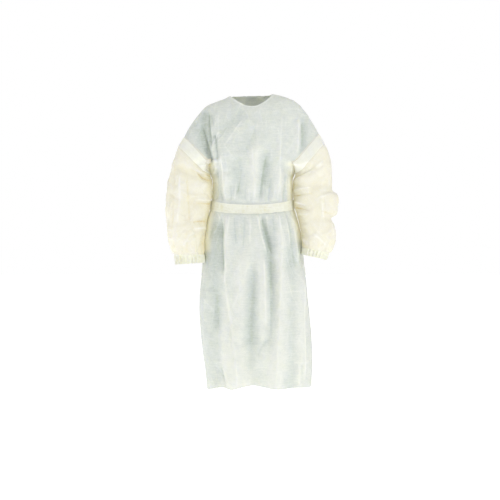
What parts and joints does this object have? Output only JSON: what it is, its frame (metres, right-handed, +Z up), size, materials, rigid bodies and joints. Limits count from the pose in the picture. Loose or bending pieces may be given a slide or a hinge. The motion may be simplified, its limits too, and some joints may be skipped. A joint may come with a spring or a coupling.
{
  "type": "isolation gown",
  "caption": "Long-sleeved, knee-length isolation gown of thin nonwoven cloth with a round neck, gathered cuffs and a waist belt, open at the back.",
  "frame": {"origin": "between the shoulders, level with the sides of the neck edge and midway in the shoulders' depth", "axes": "+Z up, -Y out of the front, +X towards the wearer's left"},
  "size_m": [0.6432, 0.3399, 1.1027],
  "materials": {
    "nonwoven_cloth": "matte",
    "doubled_cloth": "matte"
  },
  "bodies": {
    "root": {"front": "nonwoven_cloth", "back_left": "nonwoven_cloth", "back_right": "nonwoven_cloth", "sleeve_left": "nonwoven_cloth", "sleeve_right": "nonwoven_cloth", "sleeve_band_left": "doubled_cloth", "sleeve_band_right": "doubled_cloth", "cuff_left": "doubled_cloth", "cuff_right": "doubled_cloth", "belt": "doubled_cloth", "belt_knot": "doubled_cloth", "belt_end_left": "doubled_cloth", "belt_end_right": "doubled_cloth", "neck_tab": "doubled_cloth"}
  },
  "joints": []
}
